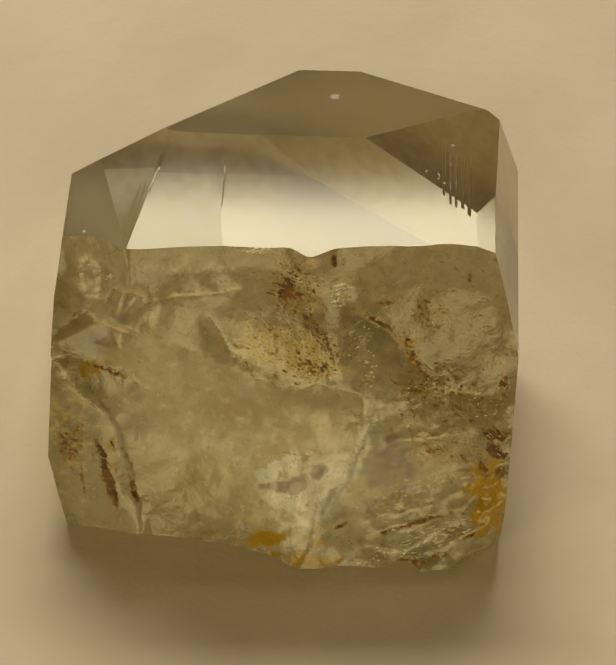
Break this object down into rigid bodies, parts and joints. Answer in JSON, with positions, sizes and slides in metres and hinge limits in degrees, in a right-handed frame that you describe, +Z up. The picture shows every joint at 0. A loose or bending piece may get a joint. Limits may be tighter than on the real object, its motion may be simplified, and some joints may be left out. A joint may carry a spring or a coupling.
{
  "type": "topaz crystal",
  "caption": "Clear yellowish topaz crystal lying on a prism face, with a natural faceted end and a broken conchoidal end with brown iron stains",
  "frame": {"origin": "bottom centre of the crystal's box, on the surface that it lies on", "axes": "+Z up, -Y towards the broken end, +Y towards the natural end, +X to the right seen from the broken end"},
  "size_m": [0.0286, 0.0278, 0.017],
  "materials": {
    "clear_topaz": "vitreous growth faces, hazy conchoidal break, brown and ochre iron stains"
  },
  "bodies": {
    "root": {"topaz_crystal": "clear_topaz"}
  },
  "joints": []
}
